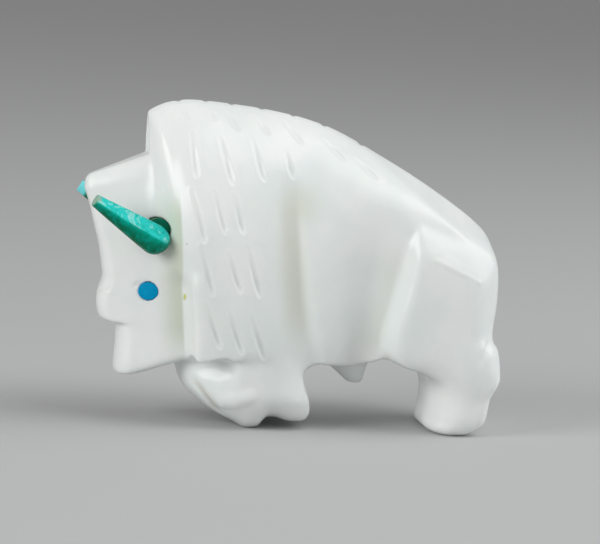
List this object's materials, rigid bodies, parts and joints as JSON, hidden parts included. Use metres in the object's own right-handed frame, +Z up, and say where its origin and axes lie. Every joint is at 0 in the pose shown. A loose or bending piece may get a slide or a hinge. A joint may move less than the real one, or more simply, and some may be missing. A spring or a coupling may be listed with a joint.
{
  "type": "zuni fetish",
  "caption": "Small bison carved from pale stone, with notched fur, pegged turquoise horns and inlaid turquoise eyes, standing on its own feet.",
  "frame": {"origin": "On the surface that the soles stand on, under the middle of the whole figure's box.", "axes": "+Z up; the head faces -X; the animal's left side, with left_horn and left_eye, is -Y."},
  "size_m": [0.0446, 0.0166, 0.0341],
  "materials": {
    "white_stone": "polished",
    "green_turquoise": "polished",
    "blue_turquoise": "polished"
  },
  "bodies": {
    "root": {"body": "white_stone", "right_horn": "green_turquoise", "left_horn": "green_turquoise", "right_eye": "blue_turquoise", "left_eye": "blue_turquoise"}
  },
  "joints": []
}
